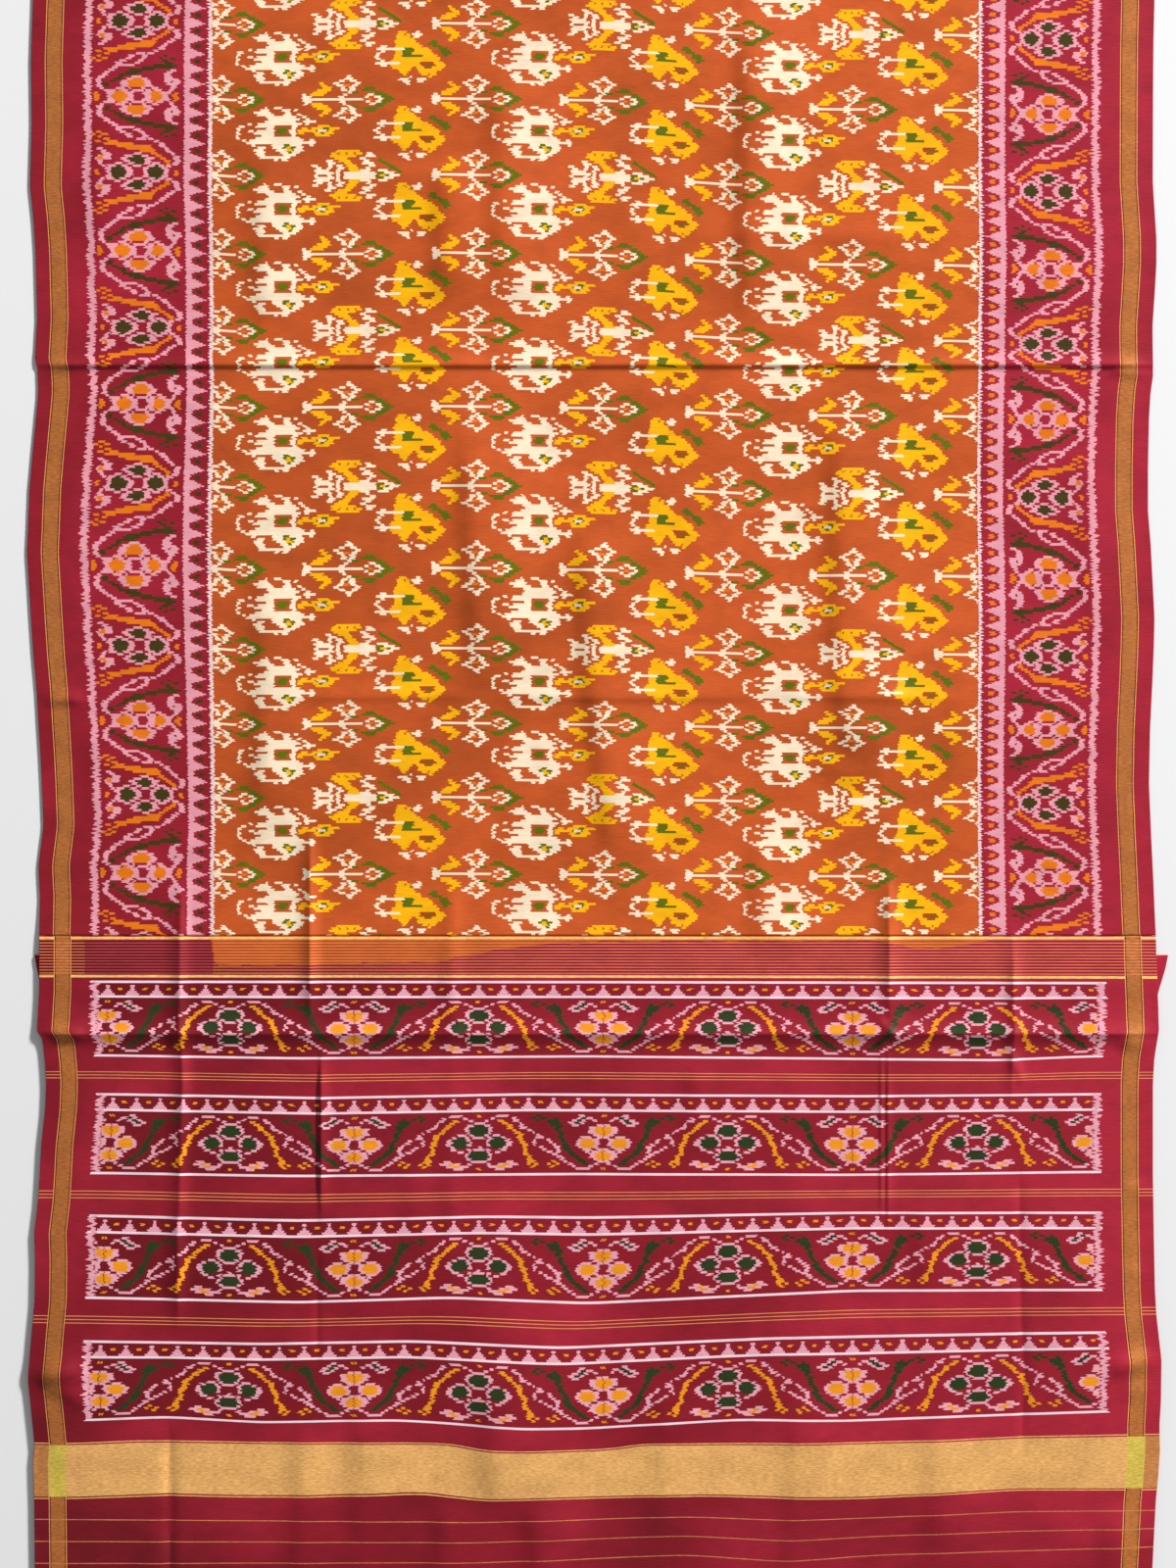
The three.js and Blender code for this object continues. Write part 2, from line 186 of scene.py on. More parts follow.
# The rolled hem at the pallu's end, and the air beneath the top layer: how much there is
# before and past the first storage crease, and how it fades at selvedges and ends
HEM_RISE = 0.7
HEM_WIDTH = 6.0
HEM_EDGE = 1.5
PAD_NEAR = 1.9
PAD_FAR = 1.3
PAD_BLEND = 300.0
POCKET_SHARE = 1.4
RIM_SHARE = 0.3
RIM_REACH = 36.0
END_REACH = 90.0
FOLD_REACH = 110.0
CREASE_FADE = 60.0


def smooth(share):
    held = np.clip(share, 0.0, 1.0)
    return held * held * (3 - 2 * held)


def read(table, v):
    return np.interp(v, list(table), list(table.values()))


def laid_x(x, v):
    """Where a point of the flat cloth lies across: the selvedges pull their neighbourhood."""
    left = read(LEFT_STRAY, v) * (1 - smooth((x + HALF_WIDTH) / SELVEDGE_PULL))
    right = read(RIGHT_STRAY, v) * (1 - smooth((HALF_WIDTH - x) / SELVEDGE_PULL))
    return x + left + right


def rest_height(v):
    return LAYER_PITCH * read(DRAPE, v) + SEAM_GAP


def cross_rise(v, crest, rise, slope, drop, dip, reach):
    past = v - crest
    above = rise * np.maximum(0, 1 - past / slope) ** 2
    below = rise * np.maximum(0, 1 + past / drop) ** 2
    trough = dip * smooth(1 + past / reach) * smooth(-past / drop)
    return np.where(past >= 0, above, below - trough)


def long_rise(x, v, line, rise, left, right, start, end):
    aside = np.where(x < line, (line - x) / left, (x - line) / right)
    fade = min(CREASE_FADE, 0.3 * (end - start))
    ends = smooth((v - start) / fade) * smooth((end - v) / fade)
    return rise * np.maximum(0, 1 - aside) ** 2 * ends


def fine_rise(x, v, x0, v0, x1, v1, rise, left, right):
    length = math.hypot(x1 - x0, v1 - v0)
    along = ((x - x0) * (x1 - x0) + (v - v0) * (v1 - v0)) / length
    aside = ((x - x0) * (v1 - v0) - (v - v0) * (x1 - x0)) / length
    ends = smooth(along / (0.3 * length)) * smooth((length - along) / (0.3 * length))
    return rise * ends * np.exp(-((aside / np.where(aside < 0, left, right)) ** 2))


def lift(x, v):
    """Height of the top layer above its rest: folds of storage, and the air beneath them."""
    rise = PAD_FAR + (PAD_NEAR - PAD_FAR) * (1 - smooth((v - STORAGE_PITCH) / PAD_BLEND))
    for crease in CROSS_CREASES:
        rise = rise + cross_rise(v, *crease)
    for crease in LONG_CREASES:
        rise = rise + long_rise(x, v, *crease)
    for px, pv, height, across, along in POCKETS:
        reach = ((x - px) / across) ** 2 + ((v - pv) / along) ** 2
        rise = rise + POCKET_SHARE * height * np.exp(-reach)
    for crease in FINE_CREASES:
        rise = rise + fine_rise(x, v, *crease)
    rim = RIM_SHARE + (1 - RIM_SHARE) * smooth((HALF_WIDTH - np.abs(x)) / RIM_REACH)
    far_end = smooth((LAID_LENGTH - v) / FOLD_REACH)
    free = np.maximum(0, rise) * rim * smooth(v / END_REACH)
    hem = HEM_RISE * (1 - smooth((v - HEM_WIDTH + HEM_EDGE) / HEM_EDGE))
    return free * far_end + FOLD_LIFT * (1 - far_end) + hem


# How close the mesh's points stand: finest at a crease, and wider with the distance from
# it. Steps along the cloth are given as widest and finest.
STEP_GROWTH = 0.22
COLUMN_FINEST = 1.5
BODY_STEPS = (6.9, 1.5)
BODY_COLUMNS = 6.8
PALLU_STEPS = (5.4, 1.0)
PALLU_COLUMNS = 6.2
SELVEDGE_STEPS = (0.6, 2.0)
CREASE_FOOT = 4.0
FINE_CROSS_CREASE = 1026.0


def spread(start, end, widest, finest, places):
    """Stations from start to end: close together near the given places, wider between."""
    stations = [start]
    while stations[-1] < end - finest:
        here = stations[-1]
        nearest = min(abs(here + finest - place) for place in places)
        stations.append(min(end, here + min(widest, finest + STEP_GROWTH * nearest)))
    stations[-1] = end
    return np.array(stations)


def columns(widest):
    places = [line for line, *_ in LONG_CREASES if abs(line) > 200]
    first, second = SELVEDGE_STEPS
    inner = spread(-HALF_WIDTH + second, HALF_WIDTH - second, widest, COLUMN_FINEST, places)
    rims = [-HALF_WIDTH, -HALF_WIDTH + first]
    return np.concatenate([rims, inner, [-rim for rim in reversed(rims)]])


def wall_mesh(name, outer, inner, cloth_x, cloth_v):
    """A closed thin wall from two sheets of points, with the flat cloth's place as its UV."""
    row_count, column_count = cloth_x.shape
    half = row_count * column_count
    index = np.arange(half).reshape(row_count, column_count)
    a, b, c, d = index[:-1, :-1], index[:-1, 1:], index[1:, 1:], index[1:, :-1]
    top = np.stack([a, b, c, d], axis=-1).reshape(-1, 4)
    bottom = np.stack([a, d, c, b], axis=-1).reshape(-1, 4) + half
    rim = np.concatenate([index[0, :], index[1:, -1], index[-1, -2::-1], index[-2:0:-1, 0]])
    after = np.roll(rim, -1)
    sides = np.stack([after, rim, rim + half, after + half], axis=-1)
    quads = np.concatenate([top, bottom, sides])
    points = np.concatenate([outer.reshape(-1, 3), inner.reshape(-1, 3)]) * MM
    mesh = bpy.data.meshes.new(name)
    mesh.from_pydata(points.tolist(), [], quads.tolist())
    places = np.stack([cloth_x.ravel(), cloth_v.ravel()], axis=-1) * MM
    places = np.concatenate([places, places])[quads.ravel()]
    mesh.uv_layers.new(name="cloth").data.foreach_set("uv", places.ravel())
    mesh.shade_smooth()
    return mesh


def new_object(name, data):
    made = bpy.data.objects.new(name, data)
    bpy.context.scene.collection.objects.link(made)
    return made


def new_piece(name, mesh):
    piece = new_object(name, mesh)
    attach(piece, "root")
    return piece


def laid_points(x, v):
    """Outer and inner face of the silk where it lies face up."""
    px = laid_x(x, v) - MIDDLE_X
    py = v - LAID_LENGTH / 2
    low = rest_height(v) + lift(x, v)
    return np.stack([px, py, low + SILK], axis=-1), np.stack([px, py, low], axis=-1)


# The weft bends a little across the cloth and along it, and the storage creases take up
# some of the length, so the pattern strays from the loom's straight lines by these amounts
CREASE_LOSS = {
    783: 3, 878: 5.5, 958: 6, 1026: 10, 1118: 11, 1198: 3.5, 1278: 0, 1358: -2, 1438: 0,
    1518: -1, 1598: -3, 1678: 0, 2060: 0,
}
RIGHT_BOW = {
    -571: -5.5, -440: -5.5, -370: 0, -155: -2, 0: 0, 60: 2.5, 156: 9, 364: 10.5, 468: 14,
}
BOW_GROWTH = {783: 0.1, 958: 0.3, 1118: 0.5, 1278: 0.7, 1420: 1.0}
BOW_ACROSS = 4.5
BOW_MIDDLE = -30.0
BOW_REACH = 300.0
LEFT_BORDER_SPREAD = 3.0
LEFT_BORDER = (-511.5, -300.0)
PATTERN_SHIFT = 1.0


def pattern_across(x):
    near = np.clip(1 - ((x - BOW_MIDDLE) / BOW_REACH) ** 2, 0, 1)
    outer, inner = LEFT_BORDER
    border = smooth((x - outer) / 110) * smooth((inner - x) / 90)
    return x - BOW_ACROSS * near - LEFT_BORDER_SPREAD * border + PATTERN_SHIFT


def body_pattern(x, v):
    bow = read(RIGHT_BOW, x)
    growth = np.where(bow > 0, read(BOW_GROWTH, v), smooth((v - 783) / 120))
    return pattern_across(x), v + read(CREASE_LOSS, v) + bow * growth


def body_mesh():
    start = PALLU_LENGTH + SEAM_GAP / 2
    nose_radius = (rest_height(LAID_LENGTH) + FOLD_LIFT + SILK) / 2
    nose_v = LAID_LENGTH - nose_radius
    crest = 2 * STORAGE_PITCH
    places = [crest, crest - CREASE_FOOT, FINE_CROSS_CREASE, PALLU_LENGTH]
    x, v = np.meshgrid(columns(BODY_COLUMNS), spread(start, nose_v, *BODY_STEPS, places))
    outer, inner = laid_points(x, v)

    # The far end: a round nose, then a short return that lies flat on the table
    turns = np.linspace(0, math.pi, 19)[1:]
    returned = np.linspace(nose_v, LAID_LENGTH - FOLD_RETURN, 4)[1:]
    fold_x = laid_x(x[0], np.full_like(x[0], LAID_LENGTH)) - MIDDLE_X
    blend = smooth((v - (LAID_LENGTH - 60)) / 50)[..., None]
    for sheet, depth in ((outer, 0.0), (inner, SILK)):
        flat = 2 * nose_radius - depth
        sheet[..., 2] = sheet[..., 2] * (1 - blend[..., 0]) + flat * blend[..., 0]
    rows_out, rows_in, rows_v = [outer], [inner], [v]

    def add_row(rows, y, z):
        y, z = (np.full_like(fold_x, level) for level in (y - LAID_LENGTH / 2, z))
        rows.append(np.stack([fold_x, y, z], axis=-1)[None])

    for turn in turns:
        for rows, radius in ((rows_out, nose_radius), (rows_in, nose_radius - SILK)):
            up = nose_radius + radius * math.cos(turn)
            add_row(rows, nose_v + radius * math.sin(turn), up)
        rows_v.append(np.full((1, x.shape[1]), nose_v + nose_radius * turn))
    for place in returned:
        add_row(rows_out, place, 0.0)
        add_row(rows_in, place, SILK)
        rows_v.append(np.full((1, x.shape[1]), nose_v + math.pi * nose_radius + nose_v - place))
    cloth_v = np.concatenate(rows_v)
    cloth_x = np.broadcast_to(x[0], cloth_v.shape)
    pattern = body_pattern(cloth_x, cloth_v)
    return wall_mesh("patterned_body", np.concatenate(rows_out), np.concatenate(rows_in), *pattern)


def set_inputs(node, values):
    for name, value in values.items():
        node.inputs[name].default_value = value


class Loom:
    """Writes the node tree of a woven cloth, thread group by thread group."""

    def __init__(self, name):
        self.cloth = bpy.data.materials.new(name)
        self.cloth.use_nodes = True
        self.tree = self.cloth.node_tree
        self.tree.nodes.clear()

    def node(self, kind, **settings):
        node = self.tree.nodes.new(kind)
        for key, value in settings.items():
            setattr(node, key, value)
        return node

    def feed(self, socket, value):
        if isinstance(value, bpy.types.NodeSocket):
            self.tree.links.new(value, socket)
        else:
            socket.default_value = value

    def math(self, operation, *values):
        node = self.node("ShaderNodeMath", operation=operation)
        for socket, value in zip(node.inputs, values):
            self.feed(socket, value)
        return node.outputs[0]

    def product(self, *values):
        result = values[0]
        for value in values[1:]:
            result = self.math("MULTIPLY", result, value)
        return result

    def scaled(self, value, factor, offset):
        return self.math("MULTIPLY_ADD", value, factor, offset)

    def less(self, value, limit):
        return self.math("LESS_THAN", value, limit)

    def more(self, value, limit):
        return self.math("GREATER_THAN", value, limit)

    def largest(self, *values):
        result = values[0]
        for value in values[1:]:
            result = self.math("MAXIMUM", result, value)
        return result

    def within(self, value, low, high):
        middle = (low + high) / 2
        return self.math("COMPARE", value, middle, (high - low) / 2)

    def repeat(self, value, first, pitch):
        """Distance past the last of the places first, first + pitch and so on."""
        return self.math("FLOORED_MODULO", self.math("SUBTRACT", value, first), pitch)

    def nearest(self, value, first, pitch):
        """Distance to the nearest of the places first, first + pitch and so on."""
        past = self.repeat(value, first - pitch / 2, pitch)
        return self.math("ABSOLUTE", self.math("SUBTRACT", past, pitch / 2))

    def ramp(self, place, stops, interpolation="LINEAR"):
        node = self.node("ShaderNodeValToRGB")
        ramp = node.color_ramp
        ramp.interpolation = interpolation
        ramp.elements.remove(ramp.elements[1])
        for number, (position, colour) in enumerate(stops):
            element = ramp.elements[0] if number == 0 else ramp.elements.new(position)
            element.position = position
            element.color = colour
        self.feed(node.inputs[0], place)
        return node

    def lookup(self, place, span, table, top, interpolation="LINEAR"):
        """The number that a table gives for a place: places up to span, numbers up to top."""
        stops = [(start / span, (number / top,) * 3 + (1,)) for start, number in table]
        found = self.ramp(self.product(place, 1 / span), stops, interpolation)
        return self.product(found.outputs[0], float(top))

    def steps(self, count, stops):
        """A constant ramp read at a whole number: stops give the number each starts at."""
        place = self.product(count, 1 / 255)
        placed = [(max(0.0, (number - 0.5) / 255), colour) for number, colour in stops]
        return self.ramp(place, placed, "CONSTANT")

    def chart(self, rows, cell, row):
        """Colour number of a charted motif at a cell across and a row down, or 0."""
        charted = [read_row(text) for text in rows]
        groups = []
        for number, runs in enumerate(charted):
            if groups and len(groups[-1]) < 3:
                if len(changes([charted[n] for n in groups[-1]] + [runs])) <= 31:
                    groups[-1].append(number)
                    continue
            groups.append([number])
        plan = []
        for group, members in enumerate(groups):
            for channel, number in enumerate(members):
                share = [1.0 if channel == c else 0.0 for c in range(3)]
                plan.append((number, (*share, (group + 1) / 64)))
        if len(rows) < 32:
            plan.append((len(rows), (0, 0, 0, 0)))
        plan_ramp = self.steps(row, plan)
        place = self.scaled(cell, 1 / 255, 1 / 255)
        total = (0, 0, 0)
        for group, members in enumerate(groups):
            runs = [charted[number] for number in members]
            stops = [(0.0, (0, 0, 0, 1))]
            for change in changes(runs):
                colour = [number_at(row_runs, change) / 16 for row_runs in runs]
                colour += [0.0] * (3 - len(colour))
                stops.append(((change + 0.5) / 255, (*colour, 1)))
            motif = self.ramp(place, stops, "CONSTANT")
            mine = self.math("COMPARE", plan_ramp.outputs[1], (group + 1) / 64, 0.004)
            add = self.node("ShaderNodeVectorMath", operation="MULTIPLY_ADD")
            self.feed(add.inputs[0], motif.outputs[0])
            self.feed(add.inputs[1], mine)
            self.feed(add.inputs[2], total)
            total = add.outputs[0]
        pick = self.node("ShaderNodeVectorMath", operation="DOT_PRODUCT")
        self.feed(pick.inputs[0], total)
        self.feed(pick.inputs[1], plan_ramp.outputs[0])
        return self.product(pick.outputs["Value"], 16.0)

    def margin(self, x):
        """Distance in from the nearer selvedge."""
        return self.math("SUBTRACT", HALF_WIDTH, self.math("ABSOLUTE", x))

    def dyed(self, thread, shades, ground):
        """The ground's colour, or a charted thread's own where its number isn't 0."""
        stops = [(number, linear(*shade)) for number, shade in enumerate(shades)]
        shade = self.steps(self.math("ADD", thread, 0.5), stops)
        return self.mix(self.more(thread, 0.5), ground, shade.outputs[0])

    def mix(self, share, first, second, blend_type="MIX"):
        node = self.node("ShaderNodeMix", data_type="RGBA", blend_type=blend_type)
        self.feed(node.inputs[0], share)
        self.feed(node.inputs[6], first)
        self.feed(node.inputs[7], second)
        return node.outputs[2]

    def noise(self, x, v, across, along, detail=0.0):
        """Noise in 0..1, with blotches about so many millimetres across and along."""
        place = self.node("ShaderNodeCombineXYZ")
        self.feed(place.inputs[0], self.product(x, 1 / across))
        self.feed(place.inputs[1], self.product(v, 1 / along))
        noise = self.node("ShaderNodeTexNoise", noise_dimensions="2D")
        set_inputs(noise, {"Scale": 1.0, "Detail": detail})
        self.tree.links.new(place.outputs[0], noise.inputs["Vector"])
        return noise.outputs[0]


# Letters of the thread colours in the charts: cream is 1, yellow 2, and so on
THREADS = "cygwopdtkzlsb"


def read_row(text):
    """Runs of one charted row, written start, thread letter, count."""
    runs = []
    for word in text.split():
        letter = next(c for c in word if c.isalpha())
        start, count = word.split(letter)
        runs.append((int(start), THREADS.index(letter) + 1, int(count)))
    return runs


def changes(rows):
    ends = {place for runs in rows for start, _, count in runs for place in (start, start + count)}
    return sorted(ends)


def number_at(runs, cell):
    for start, number, count in runs:
        if start <= cell < start + count:
            return number
    return 0


def linear(red, green, blue):
    """A colour as the eye reads it, 0 to 255, made scene linear."""
    parts = [part / 255 for part in (red, green, blue)]
    return (*[p / 12.92 if p < 0.04045 else ((p + 0.055) / 1.055) ** 2.4 for p in parts], 1.0)


# One charted cell of the field across and along, how often its motifs come again, where the
# first of each stands, and the margins and places of the borders
CELL = 2.0
PICK = 2.453
ROW_REPEAT = 32 * PICK
COLUMN_REPEAT = 258.5
ELEPHANT_X = -369.5
BIRD_X = -229.2
FLOWER_X = -302.5
ELEPHANT_TOP = 842.5
FLOWER_V = 850.0
DANCER_V = 928.4
VINE_V = 849.0
SIDE_CELL = 1.95
SIDE_TOOTH = 15.7
FIELD_MARGIN = 179.0

ELEPHANT = [
    "16c1 21c4", "13c5 25c4 31c2", "10c9 26c3", "12c9 26c4 33c2", "17c15 35c2", "18c16 37c2",
    "16c16 36c6", "7c2 12c23 37c2", "2c3 11c10 30c3 43y6",
    "1c2 17c4 23g5 30c2 35y3 40y5 45g3 48y6",
    "1c1 7c3 12c9 22g6 29c3 33y9 42g1 43w4 47g1 48y3",
    "1c2 10c11 23g4 29c3 33y3 41y3 44g2 46y5", "1c1 14c7 30c2 42y7", "1c2 11c23",
    "4c2 8c28 39c2", "6c36", "9c2 20c6 26g3 29c6 39c2", "12c4 20c5 25g2 27y2 29g3 32c4",
    "10c5 22c5 27y3 30g1 31c5", "11c5 24c4 28g2 30c4", "12c4 26c6", "13c16", "21c2 25c3",
]
BIRD = [
    "13y4 22c2", "12y4 17y2 20c5", "12y7 21c3", "12y9", "11y11 29g3", "11y13 28g5",
    "4c3 11y14 30g5", "2c14 16g5 21y7 33g5", "4c2 11y4 15g6 21y9 34g5", "2c2 11y4 15g5 20y11 35g5",
    "1c2 11y4 15g10 25y8 36g2", "2c2 10y24", "4c2 9y25", "1c13 14y10 24b7 31y5",
    "4c3 9y15 24b3 27g3 30b2 32y5", "10y10 22y4 26b4 30y6", "13y6 23y12", "14y4 23y10",
    "15y2 25y3 29y3", "19c1 28y2", "13c5 22c5", "15c4 23c3", "17c2",
]
FLOWER = [
    "2c30 35o2 40c2 43g5", "2c4 20c3 33c2 38c3 41g5", "2c2 6y6 22c2 35c3 39g5",
    "7y7 24c2 26g4 38g4", "9y7 21c3 25c3 31g8", "12y4 21c2 25c3 33g5", "11y3 19c3 22o3 26c3",
    "10y2 17c3 28c3", "20c3 26c3", "23c4", "24c2",
]
DANCER = [
    "2c2 9c2 13c2 17c16 33g2 35y3 38g2 40c5", "3c9 13c2 17c16 34g3 37c5",
    "2c8 13c2 19y6 25c5 34c5", "3c3 9c2 14c3 19y5 28c2", "1c3 9c2 13c3 18y5 30c3",
    "9c4 17y4 26c6", "8c3 14y6 27c3", "12y7 25c3", "10y13 28c5",
    "11y3 15y3 19y3 23y3 28c3", "13y12",
]
SIDE_VINE = [
    "1o3 8p2 10o8 18p3 26p3 29o6 35p3 40o3", "1o2 7p4 11o6 17p4 25p4 29o5 34p5 41o2",
    "6p6 13o2 15p3 20p6 27p3 31o1 32p3 38p2", "4p2 12p4 18p1 25p2 30p3 39p2",
    "2p3 6d3 15p3 18o8 26p4 39p3", "3p2 6d3 14p4 18o9 27p3 37p6",
    "2p3 9d3 15p3 18o8 26p3 36p3 39d1 40p4", "2p3 11d4 17p3 20o5 25p3 36p7",
    "3p3 13d3 20p5 36p4", "5p3 14d9 36p3", "6p3 17d8 37p3", "8p3 19d12 39p3",
    "10p3 25d16", "12p9 31d12", "12p3 21p3 36d4", "2o3 14p3 23p3 35d3",
    "0o2 5o3 17p3 25p2 33d2 39d3", "3o2 18p3 25p3 36d2", "6o3 22p5 28p3", "2o3 8o5 31p2",
    "6o15 33p3", "13o17 34p3", "3p3 17o14 36p2", "5p3 24o8 37p3", "6p4 21p4 30o3 39p2",
    "3p1 4o2 6p4 17p4 21d4 25p3 32o3 41p3", "2p1 3o3 6p4 15p3 18d9 27p4 34o3 41p3",
    "3p3 16p3 19d8 27p3 36o3 41p3", "4p2 12p3 18p3 21d5 26p3 30p4 37o2 40p3",
    "5p2 8p4 12d3 15p3 21p4 28p3 31d2 33p3 37p3", "7p3 10d7 17p3 26p3 29d6 35p3",
    "2o2 8p2 10d8 18p3 26p2 28d8 36p2 41o2",
]

# The colour of each thread letter, as it looks in even daylight
BODY_THREADS = [
    (203, 90, 42), (255, 233, 200), (255, 184, 0), (98, 108, 6), (246, 212, 210),
    (234, 122, 14), (236, 160, 172), (70, 56, 14), (226, 160, 84), (92, 14, 22),
    (186, 112, 56), (236, 166, 92), (214, 150, 62), (176, 72, 20),
]

# How far apart the threads lie, and how far each pick's dye strays along it
THREAD_PITCH = 0.85
BODY_JITTER = 4.6
PALLU_JITTER = 5.4


def cloth_place(loom, jitter):
    """The flat cloth's x and v in millimetres, and x with each pick shifted a little."""
    where = loom.node("ShaderNodeUVMap", uv_map="cloth")
    parts = loom.node("ShaderNodeSeparateXYZ")
    loom.tree.links.new(where.outputs[0], parts.inputs[0])
    x = loom.product(parts.outputs[0], 1 / MM)
    v = loom.product(parts.outputs[1], 1 / MM)
    picks = loom.noise(x, v, 22, 1.7)
    shift = loom.scaled(picks, jitter, -jitter / 2)
    return x, v, loom.math("ADD", x, shift), shift


def side_zari(loom, margin):
    """Thread number of the gold ribbon near each selvedge: gold, dark hairline, zari."""
    stops = [(0, 0), (14.9, 11), (16.0, 9), (16.8, 10), (31.0, 9), (31.8, 11), (32.9, 0)]
    return loom.lookup(margin, 64, stops, 16, "CONSTANT")


def finish_silk(loom, colour, metal, x, v):
    """The silk's own surface: plain weave, slubs along each pick, a soft sheen, and painted glints
    in the gold threads' colour.
    """
    shader = loom.node("ShaderNodeBsdfPrincipled")
    streaks = loom.noise(x, v, 14, 0.8, 1.0)
    dye = loom.noise(x, v, 34, 21, 2.0)
    tint = loom.ramp(streaks, [(0.25, (0.87, 0.86, 0.86, 1)), (0.75, (1, 1, 1, 1))])
    depth = loom.ramp(dye, [(0.3, (0.88, 0.87, 0.88, 1)), (0.62, (1, 1, 1, 1))])
    uneven = loom.mix(1.0, tint.outputs[0], depth.outputs[0], "MULTIPLY")
    silk = loom.mix(1.0, colour, uneven, "MULTIPLY")
    # Painted glints: the gold (zari) threads' colour is flecked lighter and darker, standing in for
    # light caught on the metal thread
    glint = loom.noise(x, v, 5.5, 1.3, 1.0)
    painted_glints = loom.ramp(glint, [(0.3, (0.86, 0.83, 0.8, 1)), (0.7, (1.14, 1.15, 1.18, 1))])
    thread = loom.mix(1.0, silk, painted_glints.outputs[0], "MULTIPLY")
    loom.feed(shader.inputs["Base Color"], loom.mix(metal, silk, thread))
    loom.feed(shader.inputs["Metallic"], loom.product(metal, 0.15))
    loom.feed(shader.inputs["Roughness"], loom.scaled(streaks, 0.2, 0.42))
    set_inputs(shader, {"Specular IOR Level": 0.16, "Sheen Weight": 0.04,
                        "Sheen Roughness": 0.4, "Sheen Tint": (1.0, 0.78, 0.7, 1.0)})
    warp = loom.math("SINE", loom.product(x, 2 * math.pi / THREAD_PITCH))
    weft = loom.math("SINE", loom.product(v, 2 * math.pi / THREAD_PITCH))
    weave = loom.scaled(loom.product(warp, weft), 0.25, streaks)
    bump = loom.node("ShaderNodeBump")
    set_inputs(bump, {"Strength": 0.35, "Distance": 0.00025})
    loom.feed(bump.inputs["Height"], weave)
    loom.tree.links.new(bump.outputs[0], shader.inputs["Normal"])
    output = loom.node("ShaderNodeOutputMaterial")
    loom.tree.links.new(shader.outputs[0], output.inputs[0])
    return loom.cloth


